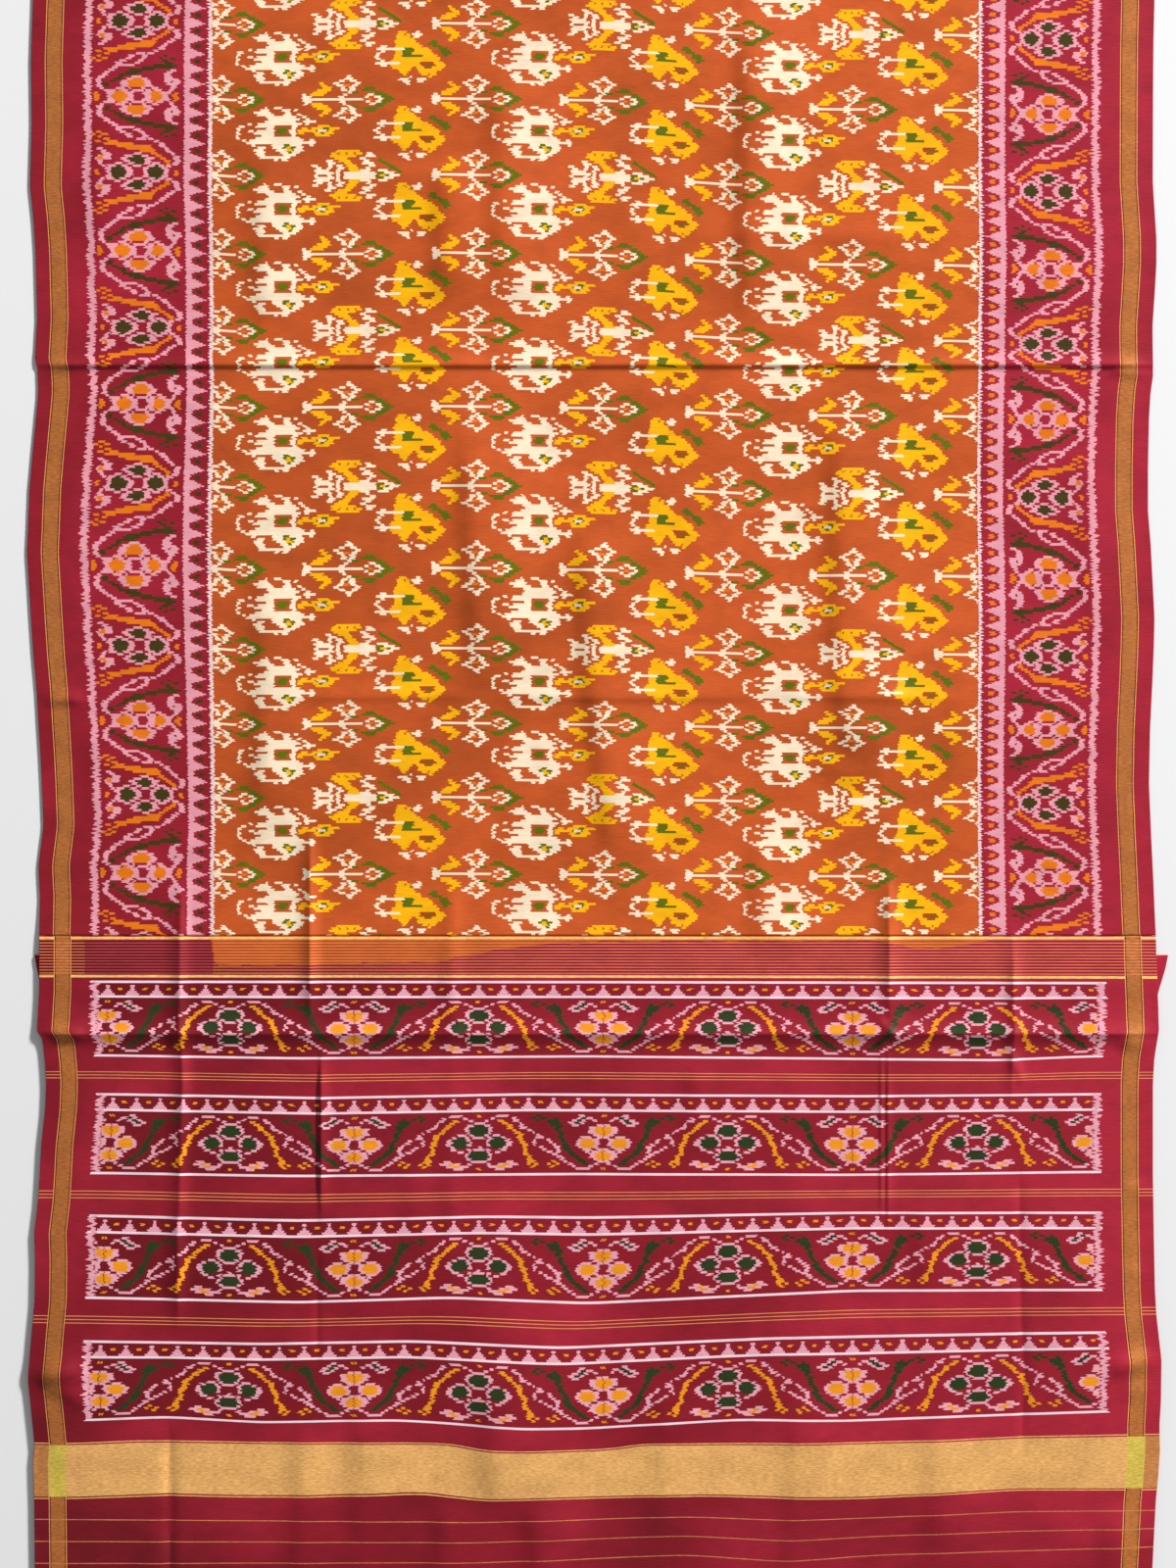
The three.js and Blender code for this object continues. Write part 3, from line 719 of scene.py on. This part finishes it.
def body_silk():
    loom = Loom("body_silk")
    x, v, frayed, shift = cloth_place(loom, BODY_JITTER)
    margin, frayed_margin = loom.margin(x), loom.margin(frayed)
    inside = loom.more(frayed_margin, FIELD_MARGIN)

    # Elephants and birds stand in the same rows of the field, flowers and dancers between
    below = loom.repeat(loom.math("SUBTRACT", ELEPHANT_TOP, v), 0, ROW_REPEAT)
    row = loom.product(below, 1 / PICK)
    cell = loom.product(loom.repeat(frayed, ELEPHANT_X, COLUMN_REPEAT), 1 / CELL)
    elephant = loom.chart(ELEPHANT, cell, row)
    cell = loom.product(loom.repeat(frayed, BIRD_X, COLUMN_REPEAT), 1 / CELL)
    bird = loom.chart(BIRD, cell, row)
    aside = loom.scaled(loom.nearest(v, FLOWER_V, ROW_REPEAT), 1 / PICK, 0.5)
    half_column = loom.repeat(frayed, FLOWER_X, COLUMN_REPEAT / 2)
    whole_column = loom.repeat(frayed, FLOWER_X, COLUMN_REPEAT)
    first_half = loom.less(whole_column, COLUMN_REPEAT / 2)
    two_rows = loom.repeat(v, DANCER_V - ROW_REPEAT / 2, 2 * ROW_REPEAT)
    other_row = loom.less(two_rows, ROW_REPEAT)
    dances = loom.product(first_half, other_row)
    flower = loom.chart(FLOWER, loom.product(half_column, 1 / CELL), aside)
    flower = loom.product(flower, loom.math("SUBTRACT", 1.0, dances))
    cell = loom.scaled(half_column, 1 / CELL, -5.5)
    dancer = loom.product(loom.chart(DANCER, cell, aside), dances)
    rise = loom.repeat(v, DANCER_V, 2 * ROW_REPEAT)
    dash = loom.within(loom.scaled(cell, 1.2, rise), 55.2, 59.2)
    dash = loom.product(dash, loom.within(cell, 34, 45.6), first_half, 3.0)
    field = loom.product(loom.largest(elephant, bird, flower, dancer, dash), inside)

    # The side borders: a vine with two kinds of rosette between toothed and feathered lines
    cell = loom.scaled(frayed_margin, 1 / SIDE_CELL, -32.0)
    row = loom.product(loom.nearest(v, VINE_V, 2 * ROW_REPEAT), 1 / PICK)
    vine = loom.chart(SIDE_VINE, cell, row)
    tooth_row = loom.scaled(loom.nearest(v, VINE_V, SIDE_TOOTH), 1 / 1.4, 0.5)
    reach = loom.scaled(loom.math("FLOOR", tooth_row), -3.8, 172.0)
    reach = loom.math("MAXIMUM", reach, 157.2)
    tooth = loom.product(loom.more(frayed_margin, 151.5), loom.less(frayed_margin, reach), 6.0)
    between = loom.nearest(v, VINE_V + SIDE_TOOTH / 2, SIDE_TOOTH)
    dot = loom.product(loom.less(between, 2.1), loom.within(frayed_margin, 161.8, 167.6))
    dot_thread = loom.scaled(loom.more(x, 0.0), -2.0, 7.0)
    wild_margin = loom.scaled(shift, 1.7, margin)
    outer_line = loom.product(loom.within(wild_margin, 54.6, 61.4), 6.0)
    inner_line = loom.product(loom.within(wild_margin, 175.4, 179.6), 4.0)
    border = loom.largest(vine, tooth, loom.product(dot, dot_thread), outer_line, inner_line)
    border = loom.product(border, loom.math("SUBTRACT", 1.0, inside))
    zari = side_zari(loom, margin)
    thread = loom.largest(field, border, zari)

    # Shot ground: rust in the field and maroon in the borders, warmer in some stretches, with
    # painted shade darker to the left
    broad = loom.noise(x, v, 190, 150, 2.0)
    # Painted shade: the ground's colour grows darker toward the left, standing in for the lamp's
    # light falling off
    painted_light_to_right = loom.scaled(x, 0.00026, broad)
    rust = loom.ramp(painted_light_to_right, [
        (0.28, linear(184, 80, 30)), (0.5, linear(199, 87, 34)), (0.7, linear(210, 92, 40))
    ])
    maroon = loom.ramp(painted_light_to_right, [(0.32, linear(146, 26, 40)), (0.68, linear(170, 33, 54))])
    ground = loom.mix(inside, maroon.outputs[0], rust.outputs[0])
    metal = loom.more(zari, 0.5)
    return finish_silk(loom, loom.dyed(thread, BODY_THREADS, ground), metal, x, v)


body = new_piece("patterned_body", body_mesh())
patterned_silk = body_silk()
body.data.materials.append(patterned_silk)
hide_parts("field_stretch")

# The pallu: the end of the same silk that hangs from the shoulder, woven in bands, with a
# wide band of gold thread. It shares its first gold line with the body.

# Where each line across the pallu lies: its place on the loom, then its v by x
WEFT_LINES = [
    (783.0, {-571: 783.0, 571: 783.0}),
    (735.0, {-571: 735.8, 0: 735.4, 571: 734.2}),
    (655.0, {-508: 661, -302: 658, -8: 660, 412: 656, 505: 660}),
    (613.0, {-500: 621, -377: 619, -282: 617, -72: 621, 260: 619, 505: 621}),
    (533.0, {-504: 541, -302: 538, -15: 540, 260: 539, 505: 542}),
    (491.0, {-512: 497, -302: 492, -110: 496, -8: 495, 260: 500, 505: 500}),
    (411.0, {-512: 414, -302: 409, -149: 414, -8: 408, 260: 421, 509: 422}),
    (369.0, {-524: 369, -340: 366, -187: 369, -34: 362, 183: 372, 505: 378}),
    (289.0, {-514: 289, -436: 292, -340: 286, -206: 289, -72: 280, -8: 280, 145: 289,
             260: 288, 520: 298}),
    (262.0, {-533: 263, -467: 266, -387: 265, -307: 264, -187: 264, -147: 263, -115: 256,
             -67: 255, 12: 257, 52: 263, 212: 263, 352: 266, 432: 270, 540: 272}),
    (213.0, {-533: 210, -435: 214, -367: 212, -307: 212, -227: 214, -179: 216, -147: 212,
             -115: 208, -67: 209, 12: 211, 112: 213, 212: 210, 272: 210, 332: 213, 432: 219}),
    (188.0, {-537: 187, -115: 184, 92: 190, 192: 186, 292: 189, 432: 195, 562: 196}),
    (144.0, {-537: 142, -115: 143, 92: 151, 192: 144, 292: 151, 432: 155, 562: 159}),
    (0.0, {-571: 0, 571: 0}),
]


def weft_line(x, places):
    """The v of one woven line at x: its given points joined by a smooth wave."""
    grid = np.arange(-620.0, 621.0, 5.0)
    window = np.hanning(13)
    joined = np.pad(np.interp(grid, list(places), list(places.values())), 6, "edge")
    return np.interp(x, grid, np.convolve(joined, window / window.sum(), "valid"))


def pallu_pattern(x, v):
    actual = np.stack([weft_line(x, places) for _, places in WEFT_LINES])
    loomed = np.array([place for place, _ in WEFT_LINES])
    result = v.copy()
    for number in range(len(loomed) - 1):
        high, low = actual[number], actual[number + 1]
        share = (v - low) / (high - low)
        here = (v <= high) & (v >= low)
        value = loomed[number + 1] + share * (loomed[number] - loomed[number + 1])
        result[here] = value[here]
    return x, result


def pallu_mesh():
    end = PALLU_LENGTH - SEAM_GAP / 2
    places = [0.0, HEM_WIDTH, STORAGE_PITCH, STORAGE_PITCH - CREASE_FOOT, end]
    x, v = np.meshgrid(columns(PALLU_COLUMNS), spread(0.0, end, *PALLU_STEPS, places))
    outer, inner = laid_points(x, v)
    return wall_mesh("pallu", outer, inner, *pallu_pattern(x, v))


# The bands: how far apart they are and where the first starts, one charted cell across and
# along, and the places of the vine and of the teeth above it
BANDS_TOP = 736.5
BAND_PITCH = 122.0
BAND_CELL = 1.987
BAND_PICK = 2.44
VINE_TOP = 19.0
VINE_FOOT = 80.0
BAND_X = -119.0
BAND_REPEAT = 254.3
BAND_TOOTH = 25.43
PALLU_VINE = [
    "", "0o1 9p6 29d3 52p3 63o1", "6p2 17p2 27d3 32d3 38d2 51p2 53d3 56p3",
    "3p2 10o3 18p3 29d2 35d7 48p3 51d3 54p2 59p2", "0p3 12o3 21p1 35d7 46p3 49d3 52p2",
    "0d3 3p3 14o3 21p2 37d6 48p4 61p3", "0d5 5p2 15o3 22p3 39d4 57p3 60o4",
    "0d5 5p2 17o2 25p2 39d3 57p3 60o4", "0d5 5p1 18o3 28p1 41d3 57p3 60o4",
    "0d3 3p2 7p4 20o3 30p2 41d3 59p3 62o2", "0p3 5p2 7d5 12p2 20o3 29p4 41d3 53p5 61p3",
    "4p2 6d8 14p2 21o2 28p1 35p2 42d3 51p2 53o6 59p3",
    "4p1 5d9 14p3 21o3 28p2 36p2 43d3 50p2 52o8 60p2",
    "4p2 6d8 14p3 22o3 28p1 38p2 44d3 50p2 52o8 60p2",
    "0p1 7d6 13p2 23o2 31p2 39p3 43d4 51p2 53o6 59p2",
    "0p3 4p2 11p3 23o2 33p2 40p2 44d4 53p5 61p3",
    "0d4 4p1 8p3 23o2 35p3 40p2 45d4 55p2 58p4 62o2", "0d5 5p2 23o3 38p3 46d4 57p3 60o4",
    "0d6 6p1 25o2 40p3 48d4 57p3 60o4", "0d4 4p2 25o3 42p2 50d4 59p2 61o3",
    "0p4 14p4 25o4 38o2 44p2 51d4 61p3",
    "4p2 10p3 13o3 16p4 25o2 29o2 35o2 40o2 46p2 53d4 60p2", "5p5 10o4 14p3 27o2 37o2 48p2 57p2",
    "0o1 8p5 50p7 63o1", "",
]
PALLU_THREADS = [
    (150, 24, 46), (255, 232, 200), (236, 160, 96), (98, 108, 14), (252, 222, 230),
    (242, 152, 26), (238, 168, 182), (46, 58, 26), (255, 206, 120), (84, 12, 22),
    (186, 112, 56), (236, 166, 92), (244, 140, 88), (240, 182, 108), (222, 196, 84),
    (204, 136, 76), (216, 140, 84), (202, 81, 84),
]

# Half the width of a tooth by the height above its foot, the v of the close stripes with
# their distance and width, and the depth of the body's orange below the gold line, by x
TOOTH_STEPS = [(0.0, 7.0), (2.4, 4.6), (4.8, 2.6), (7.0, 1.1), (9.0, 1.9), (11.2, 0.0)]
STRIPES = (743.0, 778.6)
STRIPE_FIRST = 743.9
STRIPE_PITCH = 3.13
STRIPE_WIDTH = 0.85
STRIPE_GROUND = {
    -391: 0, -389: 29, -293: 29, -207: 27, -151: 24, -107: 14, -47: 7, 12: 5, 292: 4, 330: 12,
    352: 12, 395: 5, 405: 0,
}


def pallu_silk():
    loom = Loom("pallu_silk")
    x, v, frayed, shift = cloth_place(loom, PALLU_JITTER)
    margin, frayed_margin = loom.margin(x), loom.margin(frayed)

    # Four bands of a vine with two kinds of rosette, each 83 mm deep and 122 mm apart
    below = loom.repeat(loom.math("SUBTRACT", BANDS_TOP, v), 0, BAND_PITCH)
    in_bands = loom.within(v, 287.0, 736.6)
    in_width = loom.more(frayed_margin, 62.0)
    row = loom.scaled(below, 1 / BAND_PICK, -VINE_TOP / BAND_PICK)
    cell = loom.product(loom.nearest(frayed, BAND_X, BAND_REPEAT), 1 / BAND_CELL)
    vine = loom.chart(PALLU_VINE, cell, row)
    vine = loom.product(vine, loom.within(below, VINE_TOP, VINE_FOOT))
    past = loom.nearest(x, BAND_X, BAND_TOOTH)
    up = loom.math("SUBTRACT", 16.0, below)
    reach = loom.lookup(up, 16, TOOTH_STEPS, 16, "CONSTANT")
    past = loom.scaled(shift, 0.5, past)
    tooth = loom.product(loom.less(past, reach), loom.within(up, 0.0, 11.4), 6.0)
    between = loom.nearest(frayed, BAND_X + BAND_TOOTH / 2, BAND_TOOTH)
    dot = loom.product(loom.less(between, 2.25), loom.within(up, 5.8, 8.3), 5.0)
    woven = loom.product(loom.largest(vine, tooth, dot), in_width)
    ends = loom.within(loom.scaled(shift, 1.9, margin), 55.0, 61.4)
    ends = loom.product(ends, loom.within(below, 1.0, VINE_FOOT), 6.0)
    lines = loom.largest(
        loom.within(below, 0.0, 2.5), loom.within(below, 16.0, 18.4),
        loom.within(below, 80.4, 82.8),
    )
    lines = loom.product(lines, loom.more(frayed_margin, 53.0), 4.0)
    thin = loom.less(loom.nearest(below, 102.5 - 3.3, 3.3), 0.36)
    thin = loom.product(thin, loom.within(below, 98.4, 106.6), 2.0)
    bands = loom.product(loom.largest(woven, ends, lines, thin), in_bands)

    # The gold line and the close stripes at the body's end, the wide gold band, and the
    # thin gold lines of the plain end
    deep_end = loom.product(loom.less(x, -391.0), loom.more(margin, 47.0))
    striped = loom.within(v, *STRIPES)
    on_line = loom.less(loom.repeat(v, STRIPE_FIRST, STRIPE_PITCH), STRIPE_WIDTH)
    stripes = loom.product(on_line, striped, loom.scaled(deep_end, 5.0, 12.0))
    gold_lines = loom.largest(loom.within(v, 779.3, 781.8), loom.within(v, 739.8, 742.4))
    hair_lines = loom.largest(loom.within(v, 263.4, 264.3), loom.within(v, 210.7, 211.6))
    end_lines = loom.product(loom.less(loom.nearest(v, 188.0, 22.0), 0.42),
                             loom.within(v, 110.0, 190.0))
    gold = loom.largest(loom.product(gold_lines, 8.0), loom.product(hair_lines, 8.0),
                        loom.product(end_lines, 16.0))
    zari = side_zari(loom, margin)
    crossed = loom.within(margin, 15.5, 33.0)
    outermost = loom.less(margin, 15.0)
    wide = loom.math("ADD", loom.scaled(outermost, 2.0, 13.0), crossed)
    wide = loom.product(wide, loom.within(v, 213.0, 262.0))
    thread = loom.largest(bands, stripes, gold, zari, wide)

    # Painted shade: the maroon is darker toward the left and toward the pallu's end, standing in
    # for light falling off from the lamp at the upper right; the broad noise is the dye's own
    # unevenness
    broad = loom.noise(x, v, 210, 170, 2.0)
    painted_light_lean = loom.math("MINIMUM", loom.scaled(v, 0.002, -0.5), 0.03)
    painted_light_lean = loom.math("ADD", painted_light_lean, loom.scaled(x, 0.00036, broad))
    maroon = loom.ramp(painted_light_lean, [
        (0.08, linear(120, 20, 32)), (0.32, linear(142, 24, 40)), (0.68, linear(174, 36, 56))
    ])
    # Painted shade: the grounds of the close stripes and of the bands grow darker toward the left,
    # standing in for the lamp's light falling off
    across = loom.scaled(x, 1 / 1200, 0.5)
    stripe_ground_and_shade = loom.ramp(across, [
        (0.05, linear(106, 14, 24)), (0.17, linear(118, 16, 30)), (0.33, linear(140, 20, 44)),
        (0.6, linear(156, 24, 54)),
    ])
    band_ground_and_shade = loom.ramp(across, [
        (0.08, linear(98, 12, 19)), (0.5, linear(136, 22, 34)), (0.92, linear(146, 27, 40))
    ])
    from_left = loom.math("ADD", frayed, 600.0)
    depths = [(place + 600, depth) for place, depth in STRIPE_GROUND.items()]
    depth = loom.lookup(from_left, 1200, depths, 32)
    deep = loom.math("SUBTRACT", 782.0, v)
    orange = loom.less(loom.math("ADD", deep, shift), depth)
    ground = loom.mix(striped, maroon.outputs[0], stripe_ground_and_shade.outputs[0])
    ground = loom.mix(orange, ground, linear(188, 82, 20))
    patterned = loom.product(loom.within(below, 2.0, 81.0), in_bands, in_width)
    ground = loom.mix(loom.product(patterned, 0.7), ground, band_ground_and_shade.outputs[0])
    metal = loom.more(loom.largest(zari, gold, wide), 6.5)
    return finish_silk(loom, loom.dyed(thread, PALLU_THREADS, ground), metal, x, v)


pallu = new_piece("pallu", pallu_mesh())
pallu.data.materials.append(pallu_silk())
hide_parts("pallu_stretch")

# The rolled hem of the pallu's end is whipped down by hand with silk thread, one slanting
# stitch every 6 mm, half sunk in the roll. The first three sizes are in metres.
STITCH_GAP = 0.006
STITCH_LENGTH = 0.0034
STITCH_THICKNESS = 0.0005
STITCH_MARGIN = 5.0
STITCH_INSET = 1.2
STITCH_SINK = 0.08


def stitch_thread():
    thread = bpy.data.materials.new("hem_thread")
    thread.use_nodes = True
    nodes = thread.node_tree.nodes
    shader = nodes["Principled BSDF"]
    place = nodes.new("ShaderNodeTexCoord")
    twist = nodes.new("ShaderNodeTexNoise")
    twist.inputs["Scale"].default_value = 900.0
    shades = nodes.new("ShaderNodeValToRGB")
    shades.color_ramp.elements[0].color = linear(120, 20, 34)
    shades.color_ramp.elements[1].color = linear(170, 44, 58)
    thread.node_tree.links.new(place.outputs["Object"], twist.inputs["Vector"])
    thread.node_tree.links.new(twist.outputs[0], shades.inputs[0])
    thread.node_tree.links.new(shades.outputs[0], shader.inputs["Base Color"])
    set_inputs(shader, {"Roughness": 0.5, "Specular IOR Level": 0.2})
    return thread


def hem_path():
    """The line on the roll along which the stitches stand, as a chain of edges."""
    x = np.linspace(-HALF_WIDTH + STITCH_MARGIN, HALF_WIDTH - STITCH_MARGIN, 160)
    outer, _ = laid_points(x, np.full_like(x, HEM_WIDTH - STITCH_INSET))
    outer[:, 2] -= STITCH_SINK
    mesh = bpy.data.meshes.new("hem_path")
    mesh.from_pydata((outer * MM).tolist(), [(n, n + 1) for n in range(len(x) - 1)], [])
    return mesh


def stitch_tree(thread):
    tree = bpy.data.node_groups.new("hem_stitches", "GeometryNodeTree")
    sockets = {}
    wanted = (("Hem line", "NodeSocketGeometry"), ("Gap", "NodeSocketFloat"),
              ("Length", "NodeSocketFloat"), ("Thickness", "NodeSocketFloat"))
    for name, kind in wanted:
        sockets[name] = tree.interface.new_socket(name, in_out="INPUT", socket_type=kind).identifier
    tree.interface.new_socket("Stitches", in_out="OUTPUT", socket_type="NodeSocketGeometry")
    new, join = tree.nodes.new, tree.links.new
    given = new("NodeGroupInput")
    curve = new("GeometryNodeMeshToCurve")
    spaced = new("GeometryNodeCurveToPoints")
    spaced.mode = "LENGTH"
    stitch = new("GeometryNodeMeshUVSphere")
    set_inputs(stitch, {"Segments": 6, "Rings": 5, "Radius": 0.5})
    size = new("ShaderNodeCombineXYZ")
    placed = new("GeometryNodeInstanceOnPoints")
    slant = new("FunctionNodeRandomValue")
    slant.data_type = "FLOAT_VECTOR"
    set_inputs(slant, {"Min": (0.0, 0.0, 0.95), "Max": (0.0, 0.0, 1.35), "Seed": 7})
    solid = new("GeometryNodeRealizeInstances")
    dressed = new("GeometryNodeSetMaterial")
    set_inputs(dressed, {"Material": thread})
    smoothed = new("GeometryNodeSetShadeSmooth")
    result = new("NodeGroupOutput")
    join(given.outputs["Hem line"], curve.inputs[0])
    join(curve.outputs[0], spaced.inputs[0])
    join(given.outputs["Gap"], spaced.inputs["Length"])
    join(given.outputs["Length"], size.inputs[0])
    join(given.outputs["Thickness"], size.inputs[1])
    join(given.outputs["Thickness"], size.inputs[2])
    join(spaced.outputs[0], placed.inputs["Points"])
    join(stitch.outputs[0], placed.inputs["Instance"])
    join(slant.outputs[0], placed.inputs["Rotation"])
    join(size.outputs[0], placed.inputs["Scale"])
    chain = [placed, solid, smoothed, dressed, result]
    for first, second in zip(chain, chain[1:]):
        join(first.outputs[0], second.inputs[0])
    return tree, sockets


hem_thread = stitch_thread()
stitch_group, stitch_sockets = stitch_tree(hem_thread)
hem_line = new_object("hem_line", hem_path())
maker = hem_line.modifiers.new("stitches", "NODES")
maker.node_group = stitch_group
maker[stitch_sockets["Gap"]] = STITCH_GAP
maker[stitch_sockets["Length"]] = STITCH_LENGTH
maker[stitch_sockets["Thickness"]] = STITCH_THICKNESS
seen = bpy.context.evaluated_depsgraph_get()
stitched = bpy.data.meshes.new_from_object(hem_line.evaluated_get(seen))
bpy.data.objects.remove(hem_line)
hem_stitches = new_piece("hem_stitches", stitched)
stitched.materials.clear()
stitched.materials.append(hem_thread)
stitched.polygons.foreach_set("material_index", [0] * len(stitched.polygons))

# The hidden length: 3.4 m of the same silk, folded to and fro under the top layer. It goes
# on from the far fold's return, and only its selvedges and two corners ever show.
UNDER_SILK = 0.5
UNDER_BASE = 0.35
NEAR_TURN = 5.0
FAR_TURN = 763.0
INNER_END = 150.0
TAB_TOP = 758.5
TAB_FOOT = 712.0
TABS = {1: 12.3, -1: 5.0}


def under_strip():
    """Stations of the folded strip: v, and the height of the silk's middle."""
    start = LAID_LENGTH - FOLD_RETURN - SEAM_GAP
    heights = [UNDER_BASE + LAYER_PITCH * level for level in range(3)]
    radius = LAYER_PITCH / 2
    path = [(v, heights[0]) for v in np.arange(start, NEAR_TURN + 6, -14.0)]
    half_turn = [(radius * math.sin(t), radius - radius * math.cos(t))
                 for t in np.linspace(0, math.pi, 9)]
    path += [(NEAR_TURN + radius - out, heights[0] + up) for out, up in half_turn]
    path += [(v, heights[1]) for v in np.arange(NEAR_TURN + 8, FAR_TURN - 4, 11.0)]
    path += [(FAR_TURN - radius + out, heights[1] + up) for out, up in half_turn]
    path += [(v, heights[2]) for v in np.arange(FAR_TURN - 6, INNER_END - 1, -11.0)]
    return np.array(path)


def under_mesh():
    path = under_strip()
    ahead = np.gradient(path, axis=0)
    ahead /= np.linalg.norm(ahead, axis=1)[:, None]
    side = np.stack([-ahead[:, 1], ahead[:, 0]], axis=-1)
    length = np.concatenate([[0], np.cumsum(np.linalg.norm(np.diff(path, axis=0), axis=1))])
    across = np.linspace(-1, 1, 41)
    level = np.round((path[:, 1] - UNDER_BASE) / LAYER_PITCH)
    edges = {}
    for hand, stray in ((1, RIGHT_STRAY), (-1, LEFT_STRAY)):
        wave = 2 * math.pi * path[:, 0] / (520 + 110 * level) + level * 2.1 + hand
        inset = 4.6 + 1.5 * np.sin(wave)
        edge = HALF_WIDTH - inset + hand * read(stray, path[:, 0])
        share = np.clip((path[:, 0] - TAB_FOOT) / (TAB_TOP - TAB_FOOT), 0, 1) * (level > 0)
        edges[hand] = hand * (edge + (inset + TABS[hand] - 0.8 * (level - 1)) * share)
    middle = (edges[1] + edges[-1]) / 2
    half = (edges[1] - edges[-1]) / 2
    x = middle[:, None] + half[:, None] * across[None, :]
    sheets = []
    for offset in (UNDER_SILK / 2, -UNDER_SILK / 2):
        v, z = (path + side * offset).T
        y = np.broadcast_to((v - LAID_LENGTH / 2)[:, None], x.shape)
        sheets.append(np.stack([x - MIDDLE_X, y, np.broadcast_to(z[:, None], x.shape)], axis=-1))
    cloth_x = np.broadcast_to(across * HALF_WIDTH, x.shape)
    cloth_v = np.broadcast_to((LAID_LENGTH + FOLD_RETURN + length)[:, None], x.shape)
    return wall_mesh("under_lengths", sheets[1], sheets[0], cloth_x, cloth_v)


hidden = new_piece("under_lengths", under_mesh())
hidden.data.materials.append(patterned_silk)
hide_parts("under_layers")

# Plain pale floor, soft studio light from the upper right, and a camera straight above
FLOOR_REACH = 6.0
LAMP_PLACE = (8.75, 8.75, 6.3)
CAMERA_PLACE = (-0.00995, -0.0865, 4.009)
floor_mesh = bpy.data.meshes.new("pale_floor")
corners = [(FLOOR_REACH * x, FLOOR_REACH * y, 0) for x, y in ((-1, -1), (1, -1), (1, 1), (-1, 1))]
floor_mesh.from_pydata(corners, [], [(0, 1, 2, 3)])
floor = new_object("pale_floor", floor_mesh)
paint = bpy.data.materials.new("floor_paint")
paint.use_nodes = True
set_inputs(paint.node_tree.nodes["Principled BSDF"],
           {"Base Color": linear(228, 228, 229), "Roughness": 0.8})
floor.data.materials.append(paint)

world = bpy.data.worlds.new("studio")
world.use_nodes = True
set_inputs(world.node_tree.nodes["Background"], {"Color": (1, 1, 1, 1), "Strength": 0.3})
bpy.context.scene.world = world
lamp = bpy.data.lights.new("window_light", "AREA")
lamp.shape = "DISK"
lamp.size = 2.0
lamp.energy = 3350.0
window = new_object("window_light", lamp)
window.location = LAMP_PLACE
window.rotation_euler = (math.radians(63), 0, math.radians(135))

camera_data = bpy.data.cameras.new("camera")
camera_data.sensor_width = 36.0
camera_data.lens = 90.0
camera = new_object("camera", camera_data)
camera.location = CAMERA_PLACE
bpy.context.scene.camera = camera
bpy.context.scene.view_settings.view_transform = "Standard"
